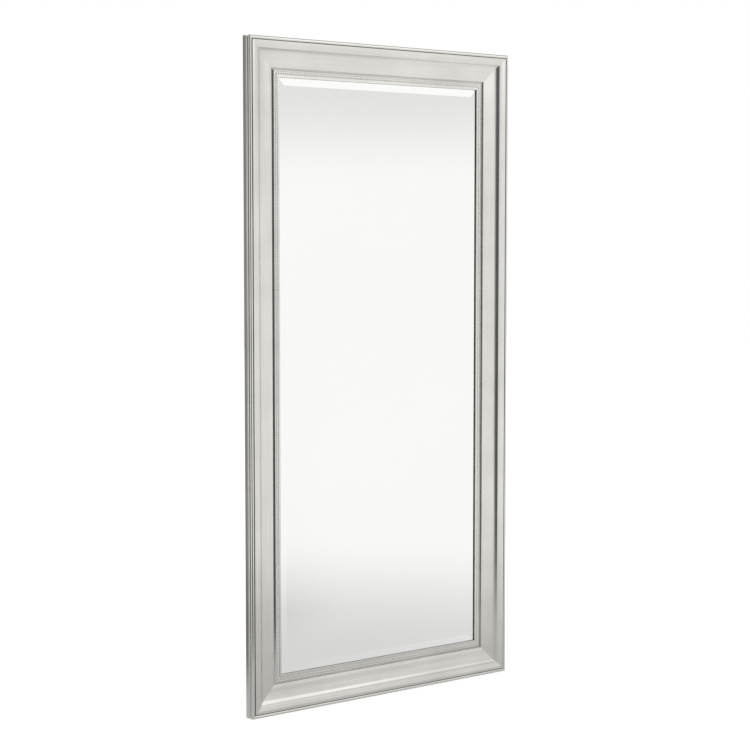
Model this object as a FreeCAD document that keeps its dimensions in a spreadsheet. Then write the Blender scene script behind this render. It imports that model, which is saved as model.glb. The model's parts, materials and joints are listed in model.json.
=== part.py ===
import FreeCAD, Part
import math
import os

import Sketcher

# Leaning floor mirror: four mitred lengths of scooped moulding, four beaded slips inside them,
# a bevelled mirror plate with its backing, and the hangers, braces and bumpers on the back.
#
# Model frame: X to the right as seen from the front, Y towards the wall, Z up.
# The origin is under the middle of the mirror, on the floor.
# Every stick of moulding is drawn in its own frame: X runs from the outer side inwards,
# Y from the crest of the front backwards, and Z along the stick from its middle.

SHEET = "Sizes"

# Driving sizes in millimetres, and counts where the text says so.
DRIVING_SIZES = [
    ("frame_width", 813, "overall width"),
    ("frame_height", 1676, "overall height"),
    ("frame_depth", 30, "moulding, from its crest to its flat back"),
    # Outer moulding, from its side round to the inner edge.
    ("side_flat", 12.5, "flat rear part of the outer side"),
    ("side_arris", 1.5, "rounded arris in front of that flat"),
    ("side_cove_radius", 9, "hollow between the arris and the edge bead"),
    ("edge_bead_radius", 4.5, "bead on the outer edge"),
    ("edge_bead_tuck", 3.45, "how far that bead curls back behind its widest place"),
    ("quirk_depth", 3.2, "groove beside the edge bead"),
    ("quirk_floor", 0.4, "flat floor of that groove"),
    ("quirk_slope", 0.9, "sloping side of that groove"),
    ("band_set_back", 0.4, "outer band's start, behind the crest"),
    ("band_width", 17.9, "gently rounded outer band"),
    ("band_drop", 4.1, "fall across the outer band"),
    ("band_radius", 42, "rounding of the outer band"),
    ("scoop_width", 13, "steep hollow inside the band"),
    ("scoop_drop", 7.9, "fall across the steep hollow"),
    ("scoop_radius", 23.4, "curve of the steep hollow"),
    ("ogee_width", 23, "broad shallow hollow"),
    ("ogee_drop", 3.2, "fall across the shallow hollow"),
    ("ogee_radius", 166, "curve of the shallow hollow"),
    ("roll_width", 8, "roll-over at the inner edge"),
    ("roll_drop", 3.4, "fall across the roll-over"),
    ("roll_radius", 12.6, "curve of the roll-over"),
    ("nose_width", 1.5, "blunt nose inside the roll-over"),
    ("nose_drop", 1.0, "fall across that nose"),
    ("slip_rebate_width", 7.5, "step at the back that takes the slip"),
    ("slip_rebate_depth", 7.5, "depth of that step from the back"),
    # Beaded slip, from the groove to the sight edge.
    ("slip_gap", 0.3, "clearance of the slip's tongue in its step"),
    ("groove_width", 3.7, "dark groove between moulding and slip"),
    ("ridge_lean", 0.4, "lean of the groove's inner wall"),
    ("ridge_radius", 2.1, "small round ridge beside the groove"),
    ("ridge_crest_depth", 16.3, "ridge crest, behind the front"),
    ("channel_wall", 0.4, "lean of the bead channel's outer wall"),
    ("channel_floor", 2.0, "flat floor between ridge and beads"),
    ("bead_radius", 3.2, "row of beads"),
    ("bead_base_depth", 19.6, "floor of the bead channel, behind the front"),
    ("bead_lip_depth", 18.4, "where the beads meet the lip, behind the front"),
    ("lip_wall", 0.6, "slope from the beads up to the lip"),
    ("lip_face_depth", 17.6, "flat lip, behind the front"),
    ("lip_width", 4.0, "flat lip between beads and sight edge"),
    ("sight_round", 1.0, "rounded sight edge"),
    ("glass_ledge_depth", 21, "back of the lip, behind the front"),
    ("glass_rebate_width", 8, "step that takes the mirror plate"),
    # Mirror plate and what lies behind it.
    ("glass_thickness", 4, "mirror plate"),
    ("bevel_width", 25, "bevel round the plate"),
    ("bevel_drop", 2, "fall across the bevel"),
    ("glass_edge_gap", 1.5, "room round the plate in its step"),
    ("glass_seat_gap", 0.1, "room between the lip and the bevel"),
    ("pad_length", 60, "setting pad under the plate"),
    ("pad_inset", 150, "setting pad's middle, from the plate's end"),
    ("cushion_thickness", 1, "foam sheet"),
    ("board_thickness", 3, "backing board"),
    ("board_edge_gap", 1, "room round sheet and board"),
    ("point_length", 14, "backing point"),
    ("point_width", 8, "backing point"),
    ("point_thickness", 0.6, "backing point"),
    ("point_bite", 6, "point's length inside the slip"),
    ("point_end_margin", 240, "outermost point, from the stick's outer end"),
    ("stile_points", 7, "count of points on a tall slip"),
    ("rail_points", 3, "count of points on a short slip"),
    # Corner joints.
    ("nail_thickness", 0.8, "V-shaped corner nail"),
    ("nail_wing", 7, "each wing of a corner nail"),
    ("nail_height", 10, "corner nail, from the back into the wood"),
    ("outer_nail_inset", 14, "outer nail, from both outer sides"),
    ("inner_nail_inset", 56, "inner nail, from both outer sides"),
    ("brace_inset", 40, "brace's centre line, from both outer sides"),
    ("brace_leg", 62, "brace leg, from where its centre lines cross"),
    ("brace_width", 16, "brace leg"),
    ("brace_thickness", 2, "brace plate"),
    ("brace_screw_near", 18, "brace's first screw, from that crossing"),
    ("brace_screw_pitch", 30, "from the first screw to the second"),
    # Screws of braces and hangers.
    ("screw_radius", 1.75, "shank"),
    ("screw_length", 14, "under the head"),
    ("screw_tip", 3, "pointed end"),
    ("head_radius", 3.6, "pan head"),
    ("head_height", 2.2, "pan head"),
    ("head_edge", 0.8, "straight side of the pan head"),
    ("recess_length", 3.6, "cross recess, from end to end"),
    ("recess_width", 0.8, "cross recess"),
    ("recess_depth", 1.2, "cross recess"),
    ("pilot_clearance", 0.1, "room round the shank in wood"),
    ("plate_hole_clearance", 0.25, "room round the shank in steel"),
    # Hangers.
    ("ring_wire_radius", 1.5, "D-ring wire"),
    ("ring_bow_radius", 14, "bow of the D, on the wire's centre line"),
    ("ring_corner_radius", 4, "corners of the D, on the wire's centre line"),
    ("eye_clearance", 0.3, "room round the wire in its eye"),
    ("plate_thickness", 1.5, "hanger strap"),
    ("plate_width", 18, "hanger strap"),
    ("plate_length", 45, "hanger strap, from the eye's axis"),
    ("plate_screw_near", 11, "strap's first screw, from the eye's axis"),
    ("plate_screw_pitch", 22, "from the first screw to the second"),
    ("stile_hanger_drop", 340, "stile hangers, below the top"),
    ("stile_hanger_eye", 52, "stile hanger's eye, from the outer side"),
    ("rail_hanger_eye", 200, "rail hanger's eye, from the left side"),
    ("rail_hanger_inset", 36, "rail hanger's centre line, from the outer side"),
    # Bumpers.
    ("bumper_radius", 10, "rubber bumper"),
    ("bumper_height", 7.5, "how far it stands off the back"),
    ("bumper_round", 1.5, "rounded rim of the bumper"),
    ("bumper_side_inset", 34, "bumper's middle, from the outer side"),
]


class Length:
    """A size: its number now, and the sheet expression that keeps it live."""

    def __init__(self, value, text):
        self.value = float(value)
        self.text = text

    @staticmethod
    def of(other):
        return other if isinstance(other, Length) else Length(other, repr(float(other)))

    def __add__(self, other):
        other = Length.of(other)
        return Length(self.value + other.value, f"({self.text} + {other.text})")

    def __sub__(self, other):
        other = Length.of(other)
        return Length(self.value - other.value, f"({self.text} - {other.text})")

    def __mul__(self, other):
        other = Length.of(other)
        return Length(self.value * other.value, f"({self.text} * {other.text})")

    def __truediv__(self, other):
        other = Length.of(other)
        return Length(self.value / other.value, f"({self.text} / {other.text})")

    def __neg__(self):
        return Length(-self.value, f"(0 - {self.text})")

    def root(self):
        return Length(math.sqrt(self.value), f"sqrt({self.text})")


ZERO = Length(0, "0")

doc = FreeCAD.newDocument("floor_mirror")
sheet = doc.addObject("Spreadsheet::Sheet", SHEET)
for row, (alias, number, meaning) in enumerate(DRIVING_SIZES, start=1):
    sheet.set(f"A{row}", meaning)
    sheet.set(f"B{row}", str(number))
    sheet.setAlias(f"B{row}", alias)
doc.recompute()


def size(alias):
    """The driving size of that name."""
    return Length(sheet.get(alias), f"{SHEET}.{alias}")


def count(alias):
    """A driving count, as a whole number."""
    return int(round(float(sheet.get(alias))))


# ---------------------------------------------------------------- sketches and features


def origin_plane(body, role):
    """The body's own origin plane of that role."""
    return next(item for item in body.Origin.OriginFeatures if item.Role == role)


def new_sketch(body, name, role, offset=ZERO):
    """An empty sketch on an origin plane, set off along the plane's normal."""
    sketch = body.newObject("Sketcher::SketchObject", name)
    sketch.AttachmentSupport = [(origin_plane(body, role), "")]
    sketch.MapMode = "FlatFace"
    sketch.AttachmentOffset = FreeCAD.Placement(FreeCAD.Vector(0, 0, offset.value), FreeCAD.Rotation())
    sketch.setExpression("AttachmentOffset.Base.z", offset.text)
    return sketch


def pin_coordinate(sketch, kind, geometry, point, length):
    """Tie one coordinate of a sketch point to the sheet."""
    if length.text == "0":
        axis = -2 if kind == "DistanceX" else -1
        sketch.addConstraint(Sketcher.Constraint("PointOnObject", geometry, point, axis))
        return
    number = sketch.addConstraint(
        Sketcher.Constraint(kind, -1, 1, geometry, point, length.value))
    sketch.setExpression(f"Constraints[{number}]", length.text)


def pin_point(sketch, geometry, point, x, y):
    """Tie both coordinates of a sketch point to the sheet."""
    pin_coordinate(sketch, "DistanceX", geometry, point, x)
    pin_coordinate(sketch, "DistanceY", geometry, point, y)


def arc_between(start, end, radius, turn, large):
    """The arc from start to end: turn is 1 anticlockwise or -1 clockwise."""
    x0, y0 = start
    x1, y1 = end
    chord = math.hypot(x1 - x0, y1 - y0)
    rise = math.sqrt(max(radius ** 2 - chord ** 2 / 4, 0))
    side = turn * (-1 if large else 1)
    centre_x = (x0 + x1) / 2 - side * rise * (y1 - y0) / chord
    centre_y = (y0 + y1) / 2 + side * rise * (x1 - x0) / chord
    first = math.atan2(y0 - centre_y, x0 - centre_x)
    last = math.atan2(y1 - centre_y, x1 - centre_x)
    if turn < 0:
        first, last = last, first
    if last < first:
        last += 2 * math.pi
    circle = Part.Circle(FreeCAD.Vector(centre_x, centre_y, 0), FreeCAD.Vector(0, 0, 1), radius)
    return Part.ArcOfCircle(circle, first, last)


def draw_loop(sketch, corners):
    """A closed outline of lines and arcs.

    Each corner is (x, y), or (x, y, radius, turn) or (x, y, radius, turn, True) where an arc
    leads from it to the next corner, the last form for the long way round.
    """
    pieces = []
    for index, corner in enumerate(corners):
        following = corners[(index + 1) % len(corners)]
        start = (corner[0].value, corner[1].value)
        end = (following[0].value, following[1].value)
        if len(corner) == 2:
            line = Part.LineSegment(FreeCAD.Vector(*start, 0), FreeCAD.Vector(*end, 0))
            pieces.append((sketch.addGeometry(line, False), 1, 2))
            continue
        radius, turn = corner[2], corner[3]
        arc = sketch.addGeometry(arc_between(start, end, radius.value, turn, len(corner) == 5), False)
        pieces.append((arc, 1, 2) if turn > 0 else (arc, 2, 1))
    for index, (geometry, first, last) in enumerate(pieces):
        corner = corners[index]
        following, its_first, _ = pieces[(index + 1) % len(pieces)]
        sketch.addConstraint(Sketcher.Constraint("Coincident", geometry, last, following, its_first))
        pin_point(sketch, geometry, first, corner[0], corner[1])
        if len(corner) > 2:
            number = sketch.addConstraint(Sketcher.Constraint("Radius", geometry, corner[2].value))
            sketch.setExpression(f"Constraints[{number}]", corner[2].text)


def draw_box(sketch, left, bottom, right, top):
    """A rectangle by its four sides."""
    draw_loop(sketch, [(left, bottom), (right, bottom), (right, top), (left, top)])


def draw_circle(sketch, x, y, radius):
    """A full circle."""
    centre = FreeCAD.Vector(x.value, y.value, 0)
    circle = Part.Circle(centre, FreeCAD.Vector(0, 0, 1), radius.value)
    geometry = sketch.addGeometry(circle, False)
    number = sketch.addConstraint(Sketcher.Constraint("Radius", geometry, radius.value))
    sketch.setExpression(f"Constraints[{number}]", radius.text)
    pin_point(sketch, geometry, 3, x, y)


def new_body(label):
    """An empty body of that label."""
    body = doc.addObject("PartDesign::Body", label)
    body.Label = label
    return body


def add_pad(body, name, sketch, length, symmetric=False):
    """Extrude a sketch along its normal, or evenly to both sides of it."""
    pad = body.newObject("PartDesign::Pad", name)
    pad.Profile = sketch
    pad.SideType = "Symmetric" if symmetric else "One side"
    pad.Length = length.value
    pad.setExpression("Length", length.text)
    body.Tip = pad
    return pad


def add_pocket(body, name, sketch, depth, towards_normal=False):
    """Cut a sketch into the body to a depth, or right through both ways for a depth of None."""
    before = body.Shape.Volume
    pocket = body.newObject("PartDesign::Pocket", name)
    pocket.Profile = sketch
    if depth is None:
        pocket.Type = "ThroughAll"
        pocket.SideType = "Symmetric"
    else:
        pocket.Length = depth.value
        pocket.setExpression("Length", depth.text)
        pocket.Reversed = towards_normal
    body.Tip = pocket
    doc.recompute()
    if not body.Shape.Volume < before:
        raise RuntimeError(f"{body.Label}: {name} cuts nothing")
    return pocket


def turn_body(label, corners):
    """A body turned about its own Z axis from an outline in the XZ plane."""
    body = new_body(label)
    sketch = new_sketch(body, f"{label}_outline", "XZ_Plane")
    draw_loop(sketch, corners)
    revolution = body.newObject("PartDesign::Revolution", f"{label}_turned")
    revolution.Profile = sketch
    revolution.ReferenceAxis = (sketch, ["V_Axis"])
    revolution.Angle = 360
    body.Tip = revolution
    doc.recompute()
    return body


def place(item, x, y, z, rotation=FreeCAD.Rotation()):
    """Put an object at a point whose coordinates stay tied to the sheet."""
    item.Placement = FreeCAD.Placement(FreeCAD.Vector(x.value, y.value, z.value), rotation)
    for axis, length in zip("xyz", (x, y, z)):
        item.setExpression(f"Placement.Base.{axis}", length.text)


def group_of(label, spots, master):
    """One node of separate, equal solids: the master's shape at each (x, y, z, rotation)."""
    links = []
    for number, (x, y, z, rotation) in enumerate(spots, start=1):
        link = doc.addObject("App::Link", f"{label}_{number}")
        link.LinkedObject = master
        place(link, x, y, z, rotation)
        links.append(link)
    group = doc.addObject("Part::Compound", label)
    group.Label = label
    group.Links = links
    return group


X_AXIS = FreeCAD.Vector(1, 0, 0)
Y_AXIS = FreeCAD.Vector(0, 1, 0)
UNTURNED = FreeCAD.Rotation()
HALF_TURN = FreeCAD.Rotation(Y_AXIS, 180)
QUARTER_TURN = FreeCAD.Rotation(Y_AXIS, 90)
BACK_QUARTER_TURN = FreeCAD.Rotation(Y_AXIS, -90)
FACING_WALL = FreeCAD.Rotation(X_AXIS, -90)

# ---------------------------------------------------------------- places that pieces share

width = size("frame_width")
height = size("frame_height")
depth = size("frame_depth")
right_side = width / 2
left_side = -right_side
crest_y = -(depth + size("bumper_height")) / 2
back_y = crest_y + depth

# Inward distances across the moulding, and depths behind its crest.
bead = size("edge_bead_radius")
quirk_outer = bead + (bead * bead - (bead - size("quirk_depth")) * (bead - size("quirk_depth"))).root()
quirk_inner = quirk_outer + size("quirk_floor")
band_start = quirk_inner + size("quirk_slope")
scoop_start = band_start + size("band_width")
ogee_start = scoop_start + size("scoop_width")
roll_start = ogee_start + size("ogee_width")
nose_start = roll_start + size("roll_width")
moulding_edge = nose_start + size("nose_width")
band_end_depth = size("band_set_back") + size("band_drop")
scoop_end_depth = band_end_depth + size("scoop_drop")
ogee_end_depth = scoop_end_depth + size("ogee_drop")
roll_end_depth = ogee_end_depth + size("roll_drop")
slip_ledge_depth = depth - size("slip_rebate_depth")
slip_wall = moulding_edge - size("slip_rebate_width")

groove_end = moulding_edge + size("groove_width")
ridge_start = groove_end + size("ridge_lean")
ridge_end = ridge_start + size("ridge_radius") * 2
ridge_base_depth = size("ridge_crest_depth") + size("ridge_radius")
channel_start = ridge_end + size("channel_wall")
beads_start = channel_start + size("channel_floor")
bead_middle = beads_start + size("bead_radius")
bead_side_rise = size("bead_base_depth") - size("bead_lip_depth")
bead_reach = (size("bead_radius") * size("bead_radius") - bead_side_rise * bead_side_rise).root()
lip_start = bead_middle + bead_reach + size("lip_wall")
sight_edge = lip_start + size("lip_width") + size("sight_round")
glass_wall = sight_edge - size("glass_rebate_width")

# The plate's bevel touches the lip at the sight edge.
rim_cover = size("glass_rebate_width") - size("glass_edge_gap")
bevel_rise = size("bevel_drop") * (size("bevel_width") - rim_cover) / size("bevel_width")
glass_front_depth = size("glass_ledge_depth") + size("glass_seat_gap") - bevel_rise
glass_back_depth = glass_front_depth + size("glass_thickness")
board_front_depth = glass_back_depth + size("cushion_thickness")
board_back_depth = board_front_depth + size("board_thickness")
point_back_depth = board_back_depth + size("point_thickness")

# ---------------------------------------------------------------- moulding and slips


def moulding_outline():
    """Section of the outer moulding, from the back corner round the front."""
    tuck_depth = bead + size("edge_bead_tuck")
    tuck_inset = bead - (bead * bead - size("edge_bead_tuck") * size("edge_bead_tuck")).root()
    arris_depth = depth - size("side_flat")
    return [
        (ZERO, depth),
        (ZERO, arris_depth, size("side_arris"), 1),
        (size("side_arris"), arris_depth - size("side_arris"), size("side_cove_radius"), -1),
        (tuck_inset, tuck_depth, bead, 1),
        (ZERO, bead, bead, 1),
        (bead, ZERO, bead, 1),
        (quirk_outer, size("quirk_depth")),
        (quirk_inner, size("quirk_depth")),
        (band_start, size("band_set_back"), size("band_radius"), 1),
        (scoop_start, band_end_depth, size("scoop_radius"), -1),
        (ogee_start, scoop_end_depth, size("ogee_radius"), -1),
        (roll_start, ogee_end_depth, size("roll_radius"), 1),
        (nose_start, roll_end_depth),
        (moulding_edge, roll_end_depth + size("nose_drop")),
        (moulding_edge, slip_ledge_depth),
        (slip_wall, slip_ledge_depth),
        (slip_wall, depth),
    ]


def slip_outline():
    """Section of the beaded slip, from the back corner round the front."""
    lip_edge = sight_edge - size("sight_round")
    return [
        (slip_wall + size("slip_gap"), depth),
        (slip_wall + size("slip_gap"), slip_ledge_depth),
        (groove_end, slip_ledge_depth),
        (ridge_start, ridge_base_depth, size("ridge_radius"), 1),
        (ridge_start + size("ridge_radius"), size("ridge_crest_depth"), size("ridge_radius"), 1),
        (ridge_end, ridge_base_depth),
        (channel_start, size("bead_base_depth")),
        (beads_start, size("bead_base_depth"), size("bead_radius"), 1),
        (bead_middle, size("bead_base_depth") - size("bead_radius"), size("bead_radius"), 1),
        (bead_middle + bead_reach, size("bead_lip_depth")),
        (lip_start, size("lip_face_depth")),
        (lip_edge, size("lip_face_depth"), size("sight_round"), 1),
        (sight_edge, size("lip_face_depth") + size("sight_round")),
        (sight_edge, size("glass_ledge_depth")),
        (glass_wall, size("glass_ledge_depth")),
        (glass_wall, depth),
    ]


def mitred_stick(label, outline, length, cover):
    """A stick of that section, mitred at both ends, where cover is the section's width."""
    body = new_body(label)
    section = new_sketch(body, f"{label}_section", "XY_Plane")
    draw_loop(section, outline)
    add_pad(body, f"{label}_stick", section, length, symmetric=True)
    doc.recompute()
    mitres = new_sketch(body, f"{label}_mitres", "XZ_Plane")
    end = length / 2
    draw_loop(mitres, [(ZERO, end), (cover, end - cover), (cover, end)])
    draw_loop(mitres, [(ZERO, -end), (cover, -end), (cover, cover - end)])
    add_pocket(body, f"{label}_mitre_cuts", mitres, None)
    return body


def cut_corner_nails(body, length):
    """Slots in the back of a stick for its halves of the corner nails."""
    slots = new_sketch(body, f"{body.Label}_nail_slots", "XZ_Plane", -depth)
    for inset in (size("outer_nail_inset"), size("inner_nail_inset")):
        inner = inset + size("nail_thickness")
        near = length / 2 - inset
        far = near - size("nail_wing")
        draw_box(slots, inset, far, inner, near)
        draw_box(slots, inset, -near, inner, -far)
    add_pocket(body, f"{body.Label}_nail_cuts", slots, size("nail_height"), towards_normal=True)


def cut_pilot_holes(body, spots, seat):
    """Screw holes in the back of a stick at (inset, along), for plates of thickness seat."""
    marks = new_sketch(body, f"{body.Label}_pilots_{len(body.Group)}", "XZ_Plane", -depth)
    for inset, along in spots:
        draw_circle(marks, inset, along, size("screw_radius") + size("pilot_clearance"))
    pilot_depth = size("screw_length") - seat + size("pilot_clearance")
    add_pocket(body, f"{marks.Label}_cuts", marks, pilot_depth, towards_normal=True)


def brace_holes(length):
    """Where the braces' screws enter a stick."""
    near = length / 2 - size("brace_inset") - size("brace_screw_near")
    far = near - size("brace_screw_pitch")
    return [(size("brace_inset"), along) for along in (near, far, -near, -far)]


def outer_stick(label, length, hanger_holes, x, z, rotation):
    """One side of the outer frame, standing in its place."""
    body = mitred_stick(label, moulding_outline(), length, moulding_edge)
    cut_corner_nails(body, length)
    cut_pilot_holes(body, brace_holes(length), size("brace_thickness"))
    cut_pilot_holes(body, hanger_holes, size("plate_thickness"))
    place(body, x, crest_y, z, rotation)
    return body


def point_places(length, number):
    """Middles of the backing points along a stick."""
    reach = length / 2 - size("point_end_margin")
    step = reach * 2 / max(number - 1, 1)
    return [reach - step * index for index in range(number)]


def slip_stick(label, length, points, x, z, rotation):
    """One side of the beaded slip, standing in its place."""
    body = mitred_stick(label, slip_outline(), length, sight_edge)
    slots = new_sketch(body, f"{label}_point_slots", "XZ_Plane", -board_back_depth)
    half = size("point_width") / 2
    deep_end = glass_wall - size("point_bite")
    for along in point_places(length, points):
        draw_box(slots, deep_end, along - half, sight_edge, along + half)
    add_pocket(body, f"{label}_point_cuts", slots, size("point_thickness"))
    place(body, x, crest_y, z, rotation)
    return body


plate_screws = [size("plate_screw_near"), size("plate_screw_near") + size("plate_screw_pitch")]
middle_z = height / 2
stile_hanger_z = height - size("stile_hanger_drop")
rail_hanger_x = left_side + size("rail_hanger_eye")

# The straps' screws in each stick's own frame. The right stile and the bottom rail are turned
# end for end, so a place along them changes sign.
across_stile = [size("stile_hanger_eye") - away for away in plate_screws]
along_rail = [rail_hanger_x + away for away in plate_screws]
left_stile_holes = [(across, stile_hanger_z - middle_z) for across in across_stile]
right_stile_holes = [(across, middle_z - stile_hanger_z) for across in across_stile]
top_rail_holes = [(size("rail_hanger_inset"), along) for along in along_rail]
bottom_rail_holes = [(size("rail_hanger_inset"), -along) for along in along_rail]

nodes = [
    outer_stick("left_stile", height, left_stile_holes, left_side, middle_z, UNTURNED),
    outer_stick("right_stile", height, right_stile_holes, right_side, middle_z, HALF_TURN),
    outer_stick("top_rail", width, top_rail_holes, ZERO, height, QUARTER_TURN),
    outer_stick("bottom_rail", width, bottom_rail_holes, ZERO, ZERO, BACK_QUARTER_TURN),
    slip_stick("left_beaded_slip", height, count("stile_points"), left_side, middle_z, UNTURNED),
    slip_stick("right_beaded_slip", height, count("stile_points"), right_side, middle_z, HALF_TURN),
    slip_stick("top_beaded_slip", width, count("rail_points"), ZERO, height, QUARTER_TURN),
    slip_stick("bottom_beaded_slip", width, count("rail_points"), ZERO, ZERO, BACK_QUARTER_TURN),
]

# ---------------------------------------------------------------- mirror plate and backing


def mirror_plate():
    """The plate: a thin slab for its rim, and a flat pyramid whose slopes are the bevel."""
    plate_inset = glass_wall + size("glass_edge_gap")
    plate_width = width - plate_inset * 2
    plate_height = height - plate_inset * 2
    bevel = size("bevel_width")
    rim = doc.addObject("Part::Box", "plate_rim")
    wedge = doc.addObject("Part::Wedge", "plate_bevel")
    rim_sizes = {
        "Length": plate_width,
        "Width": size("glass_thickness") - size("bevel_drop"),
        "Height": plate_height,
    }
    # The wedge's small end (no 2 in its names) is the flat front, and its large end the rim.
    wedge_sizes = {
        "Ymin": ZERO, "Ymax": size("bevel_drop"),
        "Xmin": bevel, "Xmax": plate_width - bevel,
        "Zmin": bevel, "Zmax": plate_height - bevel,
        "X2min": ZERO, "X2max": plate_width,
        "Z2min": ZERO, "Z2max": plate_height,
    }
    for item, sizes in ((rim, rim_sizes), (wedge, wedge_sizes)):
        for name, length in sizes.items():
            setattr(item, name, length.value)
            item.setExpression(name, length.text)
    place(rim, ZERO, size("bevel_drop"), ZERO)
    plate = doc.addObject("Part::Fuse", "mirror_glass")
    plate.Label = "mirror_glass"
    plate.Base = rim
    plate.Tool = wedge
    plate.Refine = True
    place(plate, left_side + plate_inset, crest_y + glass_front_depth, plate_inset)
    return plate


def rebate_sheet(label, front_depth, thickness):
    """A sheet that lies in the slips' step behind the plate."""
    half_width = right_side - glass_wall - size("board_edge_gap")
    half_height = height / 2 - glass_wall - size("board_edge_gap")
    body = new_body(label)
    sketch = new_sketch(body, f"{label}_outline", "XZ_Plane")
    draw_box(sketch, -half_width, -half_height, half_width, half_height)
    add_pad(body, f"{label}_sheet", sketch, thickness)
    # The pad grows towards the front, so the sheet stands at its own back.
    place(body, ZERO, crest_y + front_depth + thickness, middle_z)
    return body


def setting_pads():
    """Two pads between the plate's lower edge and the bottom slip."""
    thickness = size("glass_thickness") - size("bevel_drop")
    master = new_body("setting_pad")
    sketch = new_sketch(master, "setting_pad_outline", "XZ_Plane")
    half = size("pad_length") / 2
    draw_box(sketch, -half, ZERO, half, size("glass_edge_gap"))
    add_pad(master, "setting_pad_strip", sketch, thickness)
    reach = right_side - glass_wall - size("glass_edge_gap") - size("pad_inset")
    back = crest_y + glass_back_depth
    spots = [(along, back, glass_wall, UNTURNED) for along in (-reach, reach)]
    return group_of("glass_setting_pads", spots, master)


def backing_points():
    """Flat steel points, half in the slips' wall and half over the board's back."""
    master = new_body("backing_point")
    sketch = new_sketch(master, "backing_point_outline", "XZ_Plane")
    half = size("point_width") / 2
    draw_box(sketch, ZERO, -half, size("point_length"), half)
    add_pad(master, "backing_point_plate", sketch, size("point_thickness"))
    inset = glass_wall - size("point_bite")
    back = crest_y + point_back_depth
    spots = []
    for along in point_places(height, count("stile_points")):
        spots.append((left_side + inset, back, middle_z + along, UNTURNED))
        spots.append((right_side - inset, back, middle_z - along, HALF_TURN))
    for along in point_places(width, count("rail_points")):
        spots.append((along, back, height - inset, QUARTER_TURN))
        spots.append((-along, back, inset, BACK_QUARTER_TURN))
    return group_of("backing_points", spots, master)


nodes += [
    mirror_plate(),
    setting_pads(),
    rebate_sheet("cushion_sheet", glass_back_depth, size("cushion_thickness")),
    rebate_sheet("backing_board", board_front_depth, size("board_thickness")),
    backing_points(),
]

# ---------------------------------------------------------------- corner nails, braces and screws

# Each corner of the back: whether it is on the left, whether it is at the bottom, and the
# turn that takes a piece drawn for the bottom left corner there.
CORNERS = {
    "top_left": (True, False, QUARTER_TURN),
    "top_right": (False, False, HALF_TURN),
    "bottom_left": (True, True, UNTURNED),
    "bottom_right": (False, True, BACK_QUARTER_TURN),
}


def from_corner(name, across, along):
    """The x and z of a point that far in from the two outer sides of a corner."""
    on_left, at_bottom, _ = CORNERS[name]
    x = left_side + across if on_left else right_side - across
    z = along if at_bottom else height - along
    return x, z


def angle_outline(start, reach, breadth):
    """An L along X and Z from (start, start), in the bottom left corner."""
    near = start + breadth
    far = start + reach
    return [(start, start), (far, start), (far, near), (near, near), (near, far), (start, far)]


def corner_nails():
    """V-shaped nails across the mitres, a pair for each corner."""
    master = new_body("corner_nail")
    sketch = new_sketch(master, "corner_nail_section", "XZ_Plane")
    draw_loop(sketch, angle_outline(ZERO, size("nail_wing"), size("nail_thickness")))
    add_pad(master, "corner_nail_strip", sketch, size("nail_height"))
    spots = []
    for inset in (size("outer_nail_inset"), size("inner_nail_inset")):
        for name, (_, _, rotation) in CORNERS.items():
            x, z = from_corner(name, inset, inset)
            spots.append((x, back_y, z, rotation))
    return group_of("corner_nails", spots, master)


def brace_screw_spots():
    """Where the braces' screws sit, in the bottom left corner."""
    line = size("brace_inset")
    near = line + size("brace_screw_near")
    far = near + size("brace_screw_pitch")
    return [(near, line), (far, line), (line, near), (line, far)]


def corner_brace(name):
    """A flat angle plate on the back of one corner."""
    label = f"corner_brace_{name}"
    x, z = from_corner(name, ZERO, ZERO)
    half = size("brace_width") / 2
    body = new_body(label)
    sketch = new_sketch(body, f"{label}_outline", "XZ_Plane")
    start = size("brace_inset") - half
    draw_loop(sketch, angle_outline(start, size("brace_leg") + half, size("brace_width")))
    for hole_x, hole_z in brace_screw_spots():
        draw_circle(sketch, hole_x, hole_z, size("screw_radius") + size("plate_hole_clearance"))
    add_pad(body, f"{label}_plate", sketch, size("brace_thickness"))
    place(body, x, back_y + size("brace_thickness"), z, CORNERS[name][2])
    return body


def screw_master():
    """A pan-head screw along Z: its head above the origin, its shank below."""
    shank = size("screw_radius")
    neck = size("screw_tip") - size("screw_length")
    crown = size("head_height") - size("head_edge")
    # The crown is an arc from the head's side to its middle.
    crown_radius = (size("head_radius") * size("head_radius") + crown * crown) / (crown * 2)
    screw = turn_body("pan_head_screw", [
        (ZERO, -size("screw_length")),
        (shank, neck),
        (shank, ZERO),
        (size("head_radius"), ZERO),
        (size("head_radius"), size("head_edge"), crown_radius, 1),
        (ZERO, size("head_height")),
    ])
    recess = new_sketch(screw, "cross_recess", "XY_Plane", size("head_height"))
    long_half = size("recess_length") / 2
    thin_half = size("recess_width") / 2
    draw_loop(recess, [
        (-long_half, -thin_half), (-thin_half, -thin_half), (-thin_half, -long_half),
        (thin_half, -long_half), (thin_half, -thin_half), (long_half, -thin_half),
        (long_half, thin_half), (thin_half, thin_half), (thin_half, long_half),
        (-thin_half, long_half), (-thin_half, thin_half), (-long_half, thin_half),
    ])
    add_pocket(screw, "cross_recess_cut", recess, size("recess_depth"))
    return screw


def brace_screws(screw):
    """The screws of all four braces."""
    seat = back_y + size("brace_thickness")
    spots = []
    for name in CORNERS:
        for across, along in brace_screw_spots():
            x, z = from_corner(name, across, along)
            spots.append((x, seat, z, FACING_WALL))
    return group_of("brace_screws", spots, screw)


pan_head_screw = screw_master()
nodes.append(corner_nails())
nodes += [corner_brace(name) for name in CORNERS]
nodes.append(brace_screws(pan_head_screw))

# ---------------------------------------------------------------- hangers

eye_radius = size("ring_wire_radius") + size("eye_clearance")
eye_height = size("plate_thickness") + eye_radius
ring_y = back_y + eye_height

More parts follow.
